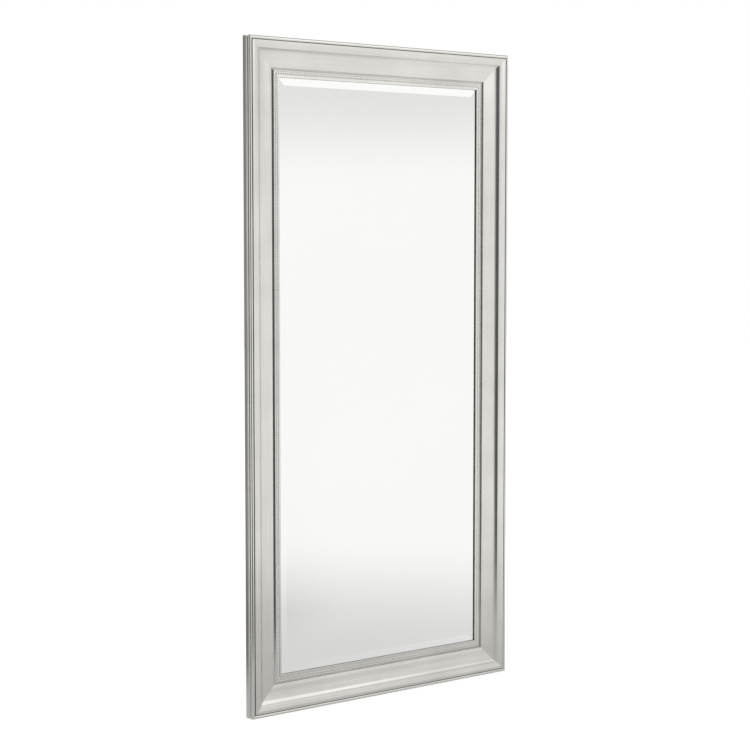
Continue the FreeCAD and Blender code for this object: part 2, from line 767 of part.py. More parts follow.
# A hanger: the x and z of its eye, and whether its strap leads to the right of it.
hangers = {
    "left": (left_side + size("stile_hanger_eye"), stile_hanger_z, False),
    "right": (right_side - size("stile_hanger_eye"), stile_hanger_z, True),
    "top": (rail_hanger_x, height - size("rail_hanger_inset"), True),
    "bottom": (rail_hanger_x, size("rail_hanger_inset"), True),
}


def hanger_plate(name):
    """A strap with a rolled eye, flat on the frame's back."""
    label = f"hanger_plate_{name}"
    x, z, strap_right = hangers[name]
    outer = eye_radius + size("plate_thickness")
    meet = (outer * outer - eye_radius * eye_radius).root()
    body = new_body(label)
    section = new_sketch(body, f"{label}_section", "XY_Plane")
    # The eye closes on the strap's own face.
    draw_loop(section, [
        (ZERO, ZERO),
        (size("plate_length"), ZERO),
        (size("plate_length"), size("plate_thickness")),
        (meet, size("plate_thickness"), outer, 1, True),
    ])
    draw_circle(section, ZERO, eye_height, eye_radius)
    add_pad(body, f"{label}_strip", section, size("plate_width"), symmetric=True)
    doc.recompute()
    marks = new_sketch(body, f"{label}_marks", "XZ_Plane")
    for away in plate_screws:
        draw_circle(marks, away, ZERO, size("screw_radius") + size("plate_hole_clearance"))
    add_pocket(body, f"{label}_holes", marks, size("plate_thickness"))
    place(body, x, back_y, z, UNTURNED if strap_right else HALF_TURN)
    return body


def hanger_ring(name):
    """A D-ring: its bar in the eye, its bow pointing away from the strap."""
    label = f"hanger_ring_{name}"
    x, z, strap_right = hangers[name]
    bow = size("ring_bow_radius")
    corner = size("ring_corner_radius")
    body = new_body(label)
    path = new_sketch(body, f"{label}_path", "XZ_Plane")
    bar = bow - corner
    draw_loop(path, [
        (-bar, ZERO),
        (bar, ZERO, corner, 1),
        (bow, corner, bow, 1),
        (ZERO, corner + bow, bow, 1),
        (-bow, corner, corner, 1),
    ])
    wire = new_sketch(body, f"{label}_wire", "YZ_Plane")
    draw_circle(wire, ZERO, ZERO, size("ring_wire_radius"))
    doc.recompute()
    pipe = body.newObject("PartDesign::AdditivePipe", f"{label}_bend")
    pipe.Profile = wire
    pipe.Spine = (path, [f"Edge{number + 1}" for number in range(path.GeometryCount)])
    body.Tip = pipe
    place(body, x, ring_y, z, BACK_QUARTER_TURN if strap_right else QUARTER_TURN)
    return body


def hanger_screws(screw):
    """The screws of all four straps."""
    seat = back_y + size("plate_thickness")
    spots = []
    for x, z, strap_right in hangers.values():
        for away in plate_screws:
            spots.append((x + away if strap_right else x - away, seat, z, FACING_WALL))
    return group_of("hanger_screws", spots, screw)


nodes += [hanger_plate(name) for name in hangers]
nodes += [hanger_ring(name) for name in hangers]
nodes.append(hanger_screws(pan_head_screw))

# ---------------------------------------------------------------- bumpers


def wall_bumper(name):
    """A rubber bumper near one corner of the back, its rim level with the top or the bottom.

    The lower pair reach the floor with the frame, and so widen its foot towards the wall.
    """
    radius = size("bumper_radius")
    x, z = from_corner(name, size("bumper_side_inset"), radius)
    rim = size("bumper_round")
    body = turn_body(f"wall_bumper_{name}", [
        (ZERO, ZERO),
        (radius, ZERO),
        (radius, size("bumper_height") - rim, rim, 1),
        (radius - rim, size("bumper_height")),
        (ZERO, size("bumper_height")),
    ])
    place(body, x, back_y, z, FACING_WALL)
    return body


nodes += [wall_bumper(name) for name in CORNERS]

# ---------------------------------------------------------------- checks and files

doc.recompute()
for item in doc.Objects:
    if "Invalid" in item.State or "Error" in item.State:
        raise RuntimeError(f"{item.Label} did not build: {item.State}")
for node in nodes:
    if node.Shape.isNull() or not node.Shape.isValid() or not node.Shape.Solids:
        raise RuntimeError(f"{node.Label} has no valid solid")

os.makedirs("parts", exist_ok=True)
for node in nodes:
    node.Shape.exportStep(f"parts/{node.Label}.step")
    box = node.Shape.BoundBox
    extent = f"{box.XLength:.1f} x {box.YLength:.1f} x {box.ZLength:.1f} mm"
    print(f"{node.Label}: {len(node.Shape.Solids)} solid(s), {extent}")
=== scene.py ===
"""Looks of a tall leaning mirror in a scooped silver frame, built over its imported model.

Every length in the dataclasses is in millimetres, and becomes metres where a mesh is made.
The model frame has X to the right as seen from the front, Y towards the wall and Z up.
"""

import json
import logging
import math
from dataclasses import dataclass, field
from enum import Enum
from typing import Any

import bpy
from mathutils import Matrix, Vector

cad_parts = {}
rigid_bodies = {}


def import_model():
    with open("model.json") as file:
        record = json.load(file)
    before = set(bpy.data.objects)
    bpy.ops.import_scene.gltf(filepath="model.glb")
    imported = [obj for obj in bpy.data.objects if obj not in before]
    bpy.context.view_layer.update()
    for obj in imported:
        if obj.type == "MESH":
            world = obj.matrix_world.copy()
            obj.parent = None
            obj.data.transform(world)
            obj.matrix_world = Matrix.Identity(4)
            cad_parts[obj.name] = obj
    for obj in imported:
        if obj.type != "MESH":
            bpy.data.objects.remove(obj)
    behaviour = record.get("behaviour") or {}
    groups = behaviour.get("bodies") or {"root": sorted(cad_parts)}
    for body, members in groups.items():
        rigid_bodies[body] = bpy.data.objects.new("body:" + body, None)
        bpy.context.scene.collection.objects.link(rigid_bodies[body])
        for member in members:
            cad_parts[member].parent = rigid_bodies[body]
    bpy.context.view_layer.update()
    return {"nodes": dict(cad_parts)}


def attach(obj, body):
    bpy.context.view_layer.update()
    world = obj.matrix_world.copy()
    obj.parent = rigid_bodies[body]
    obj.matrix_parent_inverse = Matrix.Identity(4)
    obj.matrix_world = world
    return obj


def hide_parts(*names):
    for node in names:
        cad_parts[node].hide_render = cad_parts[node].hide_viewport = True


for leftover in list(bpy.data.objects):
    bpy.data.objects.remove(leftover)
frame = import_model()

MM = 0.001
BODY = "mirror_body"
STICK_MAP = "stick"
RELIEF = "relief"
log = logging.getLogger("floor_mirror")

Point = tuple[float, float]
Colour = tuple[float, float, float, float]


# ---------------------------------------------------------------- shared tools


def linear(code: str) -> Colour:
    """Turns an sRGB hex colour into linear light.

    Args:
        code: six hex digits.

    Returns:
        Red, green, blue and an alpha of 1.
    """
    parts = [int(code[start:start + 2], 16) / 255 for start in (0, 2, 4)]
    light = [p / 12.92 if p <= 0.04045 else ((p + 0.055) / 1.055) ** 2.4 for p in parts]
    return light[0], light[1], light[2], 1.0


def add_node(
    tree: bpy.types.NodeTree,
    kind: str,
    values: dict[str | int, Any] | None = None,
    links: dict[str | int, bpy.types.NodeSocket] | None = None,
    **settings: Any,
) -> bpy.types.Node:
    """Adds a node with its settings, input values and links.

    Args:
        tree: the tree that gets the node.
        kind: the node's type.
        values: input name or number, and the value that it holds.
        links: input name or number, and the output that feeds it.
        settings: attributes of the node itself.

    Returns:
        The new node.
    """
    node = tree.nodes.new(kind)
    for name, setting in settings.items():
        setattr(node, name, setting)
    for socket, value in (values or {}).items():
        node.inputs[socket].default_value = value
    for socket, source in (links or {}).items():
        tree.links.new(source, node.inputs[socket])
    return node


def new_piece(name: str, mesh: bpy.types.Mesh) -> bpy.types.Object:
    """Makes an object at the origin that shows a mesh.

    Args:
        name: the piece's name.
        mesh: its mesh, already in its place.

    Returns:
        The object, linked to the scene.
    """
    piece = bpy.data.objects.new(name, mesh)
    bpy.context.scene.collection.objects.link(piece)
    return piece


def grown(piece: bpy.types.Object, tree: bpy.types.NodeTree, sizes: dict[str, Any]) -> None:
    """Runs a geometry tree on a piece and keeps the result as its plain mesh.

    Args:
        piece: the piece whose mesh goes in and comes out.
        tree: the geometry tree.
        sizes: named inputs of the tree and their values.
    """
    modifier = piece.modifiers.new(tree.name, "NODES")
    modifier.node_group = tree
    for item in tree.interface.items_tree:
        if item.item_type == "SOCKET" and item.in_out == "INPUT" and item.name in sizes:
            modifier[item.identifier] = sizes[item.name]
    graph = bpy.context.evaluated_depsgraph_get()
    result = bpy.data.meshes.new_from_object(piece.evaluated_get(graph), depsgraph=graph)
    piece.modifiers.remove(modifier)
    old = piece.data
    result.name = piece.name
    piece.data = result
    bpy.data.meshes.remove(old)


def new_tree(name: str, inputs: dict[str, str]) -> tuple[bpy.types.NodeTree, Any, Any]:
    """Starts a geometry tree with named inputs.

    Args:
        name: the tree's name.
        inputs: each input's name and socket type, after the geometry itself.

    Returns:
        The tree, its input node and its output node.
    """
    tree = bpy.data.node_groups.new(name, "GeometryNodeTree")
    tree.interface.new_socket("Geometry", in_out="INPUT", socket_type="NodeSocketGeometry")
    for label, kind in inputs.items():
        tree.interface.new_socket(label, in_out="INPUT", socket_type=kind)
    tree.interface.new_socket("Geometry", in_out="OUTPUT", socket_type="NodeSocketGeometry")
    return tree, add_node(tree, "NodeGroupInput"), add_node(tree, "NodeGroupOutput")


# ---------------------------------------------------------------- finishes


@dataclass(frozen=True)
class Finish:
    """A finish that builds its own material."""

    name: str

    def start(self) -> tuple[bpy.types.Material, bpy.types.NodeTree]:
        """Returns a new empty material of this name, and its node tree."""
        material = bpy.data.materials.new(self.name)
        material.use_nodes = True
        material.node_tree.nodes.clear()
        return material, material.node_tree

    @staticmethod
    def close(tree: bpy.types.NodeTree, shader: bpy.types.Node) -> None:
        """Joins a shader to the material's output.

        Args:
            tree: the material's tree.
            shader: the last shader node.
        """
        add_node(tree, "ShaderNodeOutputMaterial", links={"Surface": shader.outputs[0]})


@dataclass(frozen=True)
class SilverLeaf(Finish):
    """Silver leaf over gesso and shaped wood, rubbed along the stick and sealed with satin lacquer.

    The rubbing leaves faint streaks along the stick, the leaf has soft clouds in its tone, dark
    wax sits in the grooves together with painted shade, and the crests are burnished a little
    brighter and smoother.
    """

    name: str = "silver_leaf_satin"
    leaf: str = "E3E1DC"
    leaf_shade: str = "D6D4CF"
    # Colour of the dark wax, which also serves as painted shade in grooves.
    wax_and_shade: str = "4A4742"
    roughness: float = 0.25
    streak_length: float = 260.0
    # Real rubbing marks are well under a millimetre, too fine to show, so they are drawn wider.
    streak_width: float = 1.7
    streak_height: float = 0.05
    cloud_size: float = 110.0
    on_stick: bool = True

    def build(self) -> bpy.types.Material:
        """Returns the leaf's material."""
        material, tree = self.start()
        place = add_node(tree, "ShaderNodeTexCoord")
        if self.on_stick:
            along = add_node(tree, "ShaderNodeUVMap", uv_map=STICK_MAP).outputs["UV"]
            scale = (1 / (self.streak_length * MM), 1 / (self.streak_width * MM), 1.0)
        else:
            along = place.outputs["Object"]
            scale = (1 / (self.streak_width * MM),) * 3
        run = add_node(tree, "ShaderNodeMapping", {"Scale": scale}, {"Vector": along})
        streak = add_node(
            tree, "ShaderNodeTexNoise", {"Scale": 1.0, "Detail": 3.0, "Roughness": 0.6},
            {"Vector": run.outputs[0]})
        cloud = add_node(
            tree, "ShaderNodeTexNoise", {"Scale": 1 / (self.cloud_size * MM), "Detail": 2.0},
            {"Vector": place.outputs["Object"]})
        mixed = add_node(
            tree, "ShaderNodeMath", {1: 0.45}, {0: cloud.outputs[0]}, operation="MULTIPLY")
        tone = add_node(
            tree, "ShaderNodeMath", {1: 0.55}, {0: streak.outputs[0], 2: mixed.outputs[0]},
            operation="MULTIPLY_ADD")
        share = add_node(
            tree, "ShaderNodeMapRange", {"From Min": 0.38, "From Max": 0.62},
            {"Value": tone.outputs[0]})
        colour = add_node(
            tree, "ShaderNodeMix", {6: linear(self.leaf), 7: linear(self.leaf_shade)},
            {0: share.outputs[0]}, data_type="RGBA")
        # Negative relief mixes in the dark wax colour: real wax in part, and painted shade in the
        # grooves and on the slip's sight edge.
        relief = add_node(tree, "ShaderNodeAttribute", attribute_name=RELIEF)
        groove_shade = add_node(
            tree, "ShaderNodeMapRange", {"From Min": 0.0, "From Max": -1.0, "To Max": 0.85},
            {"Value": relief.outputs["Fac"]})
        waxed_and_shaded = add_node(
            tree, "ShaderNodeMix", {7: linear(self.wax_and_shade)},
            {0: groove_shade.outputs[0], 6: colour.outputs[2]}, data_type="RGBA")
        rough = add_node(
            tree, "ShaderNodeMapRange",
            {"From Min": 0.3, "From Max": 0.7, "To Min": self.roughness - 0.05,
             "To Max": self.roughness + 0.07}, {"Value": streak.outputs[0]})
        worn = add_node(
            tree, "ShaderNodeMath", {1: -0.09}, {0: relief.outputs["Fac"], 2: rough.outputs[0]},
            operation="MULTIPLY_ADD")
        bump = add_node(
            tree, "ShaderNodeBump", {"Strength": 0.35, "Distance": self.streak_height * MM},
            {"Height": streak.outputs[0]})
        shader = add_node(
            tree, "ShaderNodeBsdfPrincipled",
            {"Metallic": 1.0, "Coat Weight": 0.12, "Coat Roughness": 0.25},
            {"Base Color": waxed_and_shaded.outputs[2], "Roughness": worn.outputs[0],
             "Normal": bump.outputs[0]})
        self.close(tree, shader)
        return material


@dataclass(frozen=True)
class SealedWood(Finish):
    """Planed softwood, sealed once: the bare back and rebates of the mouldings, with fine grain."""

    name: str = "planed_wood_sealed"
    early: str = "CBAE86"
    late: str = "A5804F"
    grain_length: float = 180.0
    grain_width: float = 2.4
    grain_height: float = 0.12
    roughness: float = 0.62

    def build(self) -> bpy.types.Material:
        """Returns the wood's material."""
        material, tree = self.start()
        along = add_node(tree, "ShaderNodeUVMap", uv_map=STICK_MAP)
        scale = (1 / (self.grain_length * MM), 1 / (self.grain_width * MM), 1.0)
        run = add_node(tree, "ShaderNodeMapping", {"Scale": scale}, {"Vector": along.outputs[0]})
        grain = add_node(
            tree, "ShaderNodeTexNoise",
            {"Scale": 1.0, "Detail": 5.0, "Roughness": 0.6, "Distortion": 0.4},
            {"Vector": run.outputs[0]})
        share = add_node(
            tree, "ShaderNodeMapRange", {"From Min": 0.4, "From Max": 0.66},
            {"Value": grain.outputs[0]})
        colour = add_node(
            tree, "ShaderNodeMix", {6: linear(self.early), 7: linear(self.late)},
            {0: share.outputs[0]}, data_type="RGBA")
        rough = add_node(
            tree, "ShaderNodeMapRange",
            {"To Min": self.roughness - 0.08, "To Max": self.roughness + 0.1},
            {"Value": grain.outputs[0]})
        bump = add_node(
            tree, "ShaderNodeBump", {"Strength": 0.4, "Distance": self.grain_height * MM},
            {"Height": grain.outputs[0]})
        shader = add_node(
            tree, "ShaderNodeBsdfPrincipled", None,
            {"Base Color": colour.outputs[2], "Roughness": rough.outputs[0],
             "Normal": bump.outputs[0]})
        self.close(tree, shader)
        return material


@dataclass(frozen=True)
class PolishedPlate(Finish):
    """Clear float glass with a polished bevel: an iron tint so faint that it shows at edges only."""

    name: str = "float_glass_polished"
    tint: str = "FEFFFE"
    ior: float = 1.52
    # The finest haze of handling: patches about a hand wide, no rougher than polish leaves.
    haze_size: float = 90.0
    haze: float = 0.004

    def build(self) -> bpy.types.Material:
        """Returns the glass's material."""
        material, tree = self.start()
        place = add_node(tree, "ShaderNodeTexCoord")
        patches = add_node(
            tree, "ShaderNodeTexNoise", {"Scale": 1 / (self.haze_size * MM), "Detail": 2.0},
            {"Vector": place.outputs["Object"]})
        rough = add_node(
            tree, "ShaderNodeMapRange",
            {"From Min": 0.5, "From Max": 0.8, "To Min": 0.0, "To Max": self.haze},
            {"Value": patches.outputs[0]})
        shader = add_node(
            tree, "ShaderNodeBsdfPrincipled",
            {"Base Color": linear(self.tint), "IOR": self.ior, "Transmission Weight": 1.0},
            {"Roughness": rough.outputs[0]})
        self.close(tree, shader)
        return material


@dataclass(frozen=True)
class Silvering(Finish):
    """A wet-deposited silver film on the plate's back: a true mirror with a trace of warmth."""

    name: str = "silver_film"
    film: str = "FBFBFA"
    film_shade: str = "F8F8F7"
    drift_size: float = 455.0

    def build(self) -> bpy.types.Material:
        """Returns the film's material."""
        material, tree = self.start()
        place = add_node(tree, "ShaderNodeTexCoord")
        drift = add_node(
            tree, "ShaderNodeTexNoise", {"Scale": 1 / (self.drift_size * MM), "Detail": 1.0},
            {"Vector": place.outputs["Object"]})
        colour = add_node(
            tree, "ShaderNodeMix", {6: linear(self.film), 7: linear(self.film_shade)},
            {0: drift.outputs[0]}, data_type="RGBA")
        shader = add_node(
            tree, "ShaderNodeBsdfPrincipled", {"Metallic": 1.0, "Roughness": 0.0},
            {"Base Color": colour.outputs[2]})
        self.close(tree, shader)
        return material


@dataclass(frozen=True)
class ZincPlate(Finish):
    """Pressed mild steel with bright zinc plating: cool grey, soft gloss, a faintly patchy tone."""

    name: str = "zinc_plated_steel"
    bright: str = "C6C9CC"
    dull: str = "A3A6A8"
    patch_size: float = 7.0
    patch_height: float = 0.05
    roughness: float = 0.3

    def build(self) -> bpy.types.Material:
        """Returns the plating's material."""
        material, tree = self.start()
        place = add_node(tree, "ShaderNodeTexCoord")
        patch = add_node(
            tree, "ShaderNodeTexNoise",
            {"Scale": 1 / (self.patch_size * MM), "Detail": 4.0, "Roughness": 0.65},
            {"Vector": place.outputs["Object"]})
        share = add_node(
            tree, "ShaderNodeMapRange", {"From Min": 0.35, "From Max": 0.7},
            {"Value": patch.outputs[0]})
        colour = add_node(
            tree, "ShaderNodeMix", {6: linear(self.bright), 7: linear(self.dull)},
            {0: share.outputs[0]}, data_type="RGBA")
        rough = add_node(
            tree, "ShaderNodeMapRange",
            {"To Min": self.roughness - 0.08, "To Max": self.roughness + 0.14},
            {"Value": patch.outputs[0]})
        bump = add_node(
            tree, "ShaderNodeBump", {"Strength": 0.25, "Distance": self.patch_height * MM},
            {"Height": patch.outputs[0]})
        shader = add_node(
            tree, "ShaderNodeBsdfPrincipled", {"Metallic": 1.0},
            {"Base Color": colour.outputs[2], "Roughness": rough.outputs[0],
             "Normal": bump.outputs[0]})
        self.close(tree, shader)
        return material


@dataclass(frozen=True)
class GrainedMatter(Finish):
    """A matt non-metal whose tone and surface follow one even grain.

    It serves the hardboard back, pressed from wood fibre; the moulded rubber of bumpers and
    pads; and the foam sheet, whose cells are too fine to show singly.
    """

    name: str = "matter"
    light: str = "808080"
    dark: str = "606060"
    grain_size: float = 2.0
    grain_height: float = 0.1
    cloud_size: float = 90.0
    cloud_share: float = 0.35
    roughness: float = 0.7
    specular: float = 0.5

    def build(self) -> bpy.types.Material:
        """Returns the material."""
        material, tree = self.start()
        place = add_node(tree, "ShaderNodeTexCoord")
        grain = add_node(
            tree, "ShaderNodeTexNoise",
            {"Scale": 1 / (self.grain_size * MM), "Detail": 4.0, "Roughness": 0.7},
            {"Vector": place.outputs["Object"]})
        cloud = add_node(
            tree, "ShaderNodeTexNoise", {"Scale": 1 / (self.cloud_size * MM), "Detail": 3.0},
            {"Vector": place.outputs["Object"]})
        tone = add_node(
            tree, "ShaderNodeMix", {0: self.cloud_share},
            {2: grain.outputs[0], 3: cloud.outputs[0]}, data_type="FLOAT")
        share = add_node(
            tree, "ShaderNodeMapRange", {"From Min": 0.36, "From Max": 0.64},
            {"Value": tone.outputs[0]})
        colour = add_node(
            tree, "ShaderNodeMix", {6: linear(self.light), 7: linear(self.dark)},
            {0: share.outputs[0]}, data_type="RGBA")
        rough = add_node(
            tree, "ShaderNodeMapRange",
            {"To Min": self.roughness - 0.1, "To Max": self.roughness + 0.1},
            {"Value": grain.outputs[0]})
        bump = add_node(
            tree, "ShaderNodeBump", {"Strength": 0.5, "Distance": self.grain_height * MM},
            {"Height": grain.outputs[0]})
        shader = add_node(
            tree, "ShaderNodeBsdfPrincipled", {"Specular IOR Level": self.specular},
            {"Base Color": colour.outputs[2], "Roughness": rough.outputs[0],
             "Normal": bump.outputs[0]})
        self.close(tree, shader)
        return material


# ---------------------------------------------------------------- sticks of moulding


class Side(Enum):
    """The four sides of the frame, each with the word that its stick's name starts with."""

    LEFT = "left"
    RIGHT = "right"
    TOP = "top"
    BOTTOM = "bottom"


@dataclass(frozen=True)
class FrameSize:
    """Overall sizes that every stick and plate is placed by."""

    width: float = 813.0
    height: float = 1676.0
    depth: float = 30.0
    crest: float = -18.75

    @property
    def back(self) -> float:
        """Where the flat back of the frame lies."""
        return self.crest + self.depth

    def length(self, side: Side) -> float:
        """The outer length of one side's stick."""
        return self.height if side in (Side.LEFT, Side.RIGHT) else self.width

    def placing(self, side: Side) -> Matrix:
        """Takes a stick from its own frame, in metres, to its side.

        Args:
            side: the side that the stick is for.

        Returns:
            The turn and shift. A stick has X inwards, Y backwards and Z along.
        """
        half_width, half_height = self.width / 2, self.height / 2
        turns = {
            Side.LEFT: (0, (-half_width, half_height)),
            Side.RIGHT: (180, (half_width, half_height)),
            Side.TOP: (90, (0.0, self.height)),
            Side.BOTTOM: (-90, (0.0, 0.0)),
        }
        angle, (x, z) = turns[side]
        shift = Matrix.Translation(Vector((x, self.crest, z)) * MM)
        return shift @ Matrix.Rotation(math.radians(angle), 4, "Y")


@dataclass(frozen=True)
class Corner:
    """A corner of a stick's section, and the face that leads from it to the next corner.

    Attributes:
        inward: distance from the outer side.
        behind: distance behind the crest.
        radius: radius of the arc to the next corner, or 0 for a straight face.
        turn: 1 for an anticlockwise arc, -1 for a clockwise one.
        relief: -1 in a groove, which gets dark wax and painted shade, 1 on a crest that the hand
            rubs.
        bare: whether the face is bare wood.
    """

    inward: float
    behind: float
    radius: float = 0.0
    turn: int = 1
    relief: float = 0.0
    bare: bool = False


@dataclass(frozen=True)
class Section:
    """A closed section of moulding, drawn as corners joined by lines and arcs."""

    corners: tuple[Corner, ...]
    arc_step: float = 5.0

    def face_points(self, start: Corner, end: Corner) -> list[Point]:
        """Points on the face from one corner up to, but not including, the next.

        Args:
            start: the corner that the face leaves.
            end: the corner that it reaches.

        Returns:
            The points, in millimetres.
        """
        first = (start.inward, start.behind)
        if not start.radius:
            return [first]
        across, down = end.inward - start.inward, end.behind - start.behind
        chord = math.hypot(across, down)
        rise = math.sqrt(max(start.radius ** 2 - chord ** 2 / 4, 0.0))
        centre_x = (start.inward + end.inward) / 2 - start.turn * rise * down / chord
        centre_y = (start.behind + end.behind) / 2 + start.turn * rise * across / chord
        opening = math.atan2(start.behind - centre_y, start.inward - centre_x)
        sweep = start.turn * 2 * math.asin(min(chord / 2 / start.radius, 1.0))
        steps = max(3, math.ceil(abs(math.degrees(sweep)) / self.arc_step))
        return [first] + [
            (centre_x + start.radius * math.cos(opening + sweep * n / steps),
             centre_y + start.radius * math.sin(opening + sweep * n / steps))
            for n in range(1, steps)
        ]

    def loop(self) -> list[tuple[Point, float, bool]]:
        """Every point of the section with its relief, and whether its face is bare."""
        points: list[tuple[Point, float, bool]] = []
        for corner, following in zip(self.corners, self.corners[1:] + self.corners[:1]):
            face = self.face_points(corner, following)
            for number, point in enumerate(face):
                part = number / len(face)
                relief = corner.relief * (1 - part) + following.relief * part
                points.append((point, relief, corner.bare))
        return points


@dataclass
class MouldingStick:
    """One mitred stick: a section drawn along its length, cut at 45 degrees at both ends.

    Attributes:
        section: the stick's section.
        size: the frame's overall sizes.
        joint: half the hairline that shows at a glued mitre.
        sharp: faces that meet at a larger angle than this, in degrees, keep a crisp edge.
    """

    section: Section
    size: FrameSize
    joint: float = 0.06
    sharp: float = 24.0

    def mesh(self, name: str, side: Side, leaf: bpy.types.Material,
             wood: bpy.types.Material) -> bpy.types.Mesh:
        """Builds the stick in its own frame.

        Args:
            name: the mesh's name.
            side: which side it is for, which sets its length.
            leaf: material of the shaped faces.
            wood: material of the bare faces.

        Returns:
            A closed mesh in metres, with a map along and around the stick.
        """
        loop = self.section.loop()
        half = self.size.length(side) / 2 - self.joint
        count = len(loop)
        vertices = [(u * MM, d * MM, end * (half - u) * MM)
                    for end in (-1, 1) for (u, d), _, _ in loop]
        faces = [(n, (n + 1) % count, (n + 1) % count + count, n + count) for n in range(count)]
        faces.append(tuple(range(count, 2 * count)))
        faces.append(tuple(reversed(range(count))))
        mesh = bpy.data.meshes.new(name)
        mesh.from_pydata(vertices, [], faces)
        mesh.materials.append(leaf)
        mesh.materials.append(wood)
        for number, face in enumerate(mesh.polygons):
            bare = number >= count or loop[number][2]
            face.material_index = 1 if bare else 0
            face.use_smooth = not bare
        mesh.set_sharp_from_angle(angle=math.radians(self.sharp))
        self.map_along(mesh, loop)
        relief = mesh.attributes.new(RELIEF, "FLOAT", "POINT")
        relief.data.foreach_set("value", [entry[1] for entry in loop] * 2)
        mesh.update()
        return mesh

    @staticmethod
    def map_along(mesh: bpy.types.Mesh, loop: list[tuple[Point, float, bool]]) -> None:
        """Lays a map over a stick: metres along it, and metres around its section.

        Args:
            mesh: the stick's mesh.
            loop: the section's points, in the order of the mesh's vertices.
        """
        around = [0.0]
        for (here, _, _), (there, _, _) in zip(loop, loop[1:] + loop[:1]):
            around.append(around[-1] + math.dist(here, there) * MM)
        count = len(loop)
        layer = mesh.uv_layers.new(name=STICK_MAP)
        for number, face in enumerate(mesh.polygons):
            for spot in face.loop_indices:
                vertex = mesh.loops[spot].vertex_index
                place = vertex % count
                if number == count - 1 and place == 0:
                    place = count
                if number >= count:
                    layer.data[spot].uv = tuple(mesh.vertices[vertex].co[:2])
                else:
                    layer.data[spot].uv = (mesh.vertices[vertex].co.z, around[place])


@dataclass
class OuterFrame:
    """The four mitred lengths of scooped moulding."""

    size: FrameSize
    leaf: bpy.types.Material
    wood: bpy.types.Material
    # Negative relief gives the quirks beside the outer bead dark wax and painted shade.
    section: Section = Section((
        Corner(0.0, 30.0),
        Corner(0.0, 17.5, 1.5, 1, relief=0.4),
        Corner(1.5, 16.0, 9.0, -1),
        Corner(1.61, 7.95, 4.5, 1, relief=-0.75),
        Corner(0.0, 4.5, 4.5, 1, relief=0.8),
        Corner(4.5, 0.0, 4.5, 1, relief=0.8),
        Corner(8.81, 3.2, relief=-0.9),
        Corner(9.21, 3.2, relief=-0.9),
        Corner(10.11, 0.4, 42.0, 1, relief=0.5),
        Corner(28.01, 4.5, 23.4, -1),
        Corner(41.01, 12.4, 166.0, -1),
        Corner(64.01, 15.6, 60.0, 1),
        Corner(72.4, 17.3, 1.3, 1, relief=0.3),
        Corner(73.51, 18.6),
        Corner(73.51, 22.5, bare=True),
        Corner(66.01, 22.5, bare=True),
        Corner(66.01, 30.0, bare=True),
    ))
    nodes: dict[Side, str] = field(default_factory=lambda: {
        Side.LEFT: "left_stile", Side.RIGHT: "right_stile",
        Side.TOP: "top_rail", Side.BOTTOM: "bottom_rail"})

    def build(self) -> list[bpy.types.Object]:
        """Builds the sticks in their places.

        Returns:
            The four pieces.
        """
        pieces = []
        stick = MouldingStick(self.section, self.size)
        for side, node in self.nodes.items():
            name = f"{node}_moulding"
            mesh = stick.mesh(name, side, self.leaf, self.wood)
            mesh.transform(self.size.placing(side))
            piece = new_piece(name, mesh)
            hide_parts(node)
            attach(piece, BODY)
            pieces.append(piece)
        return pieces


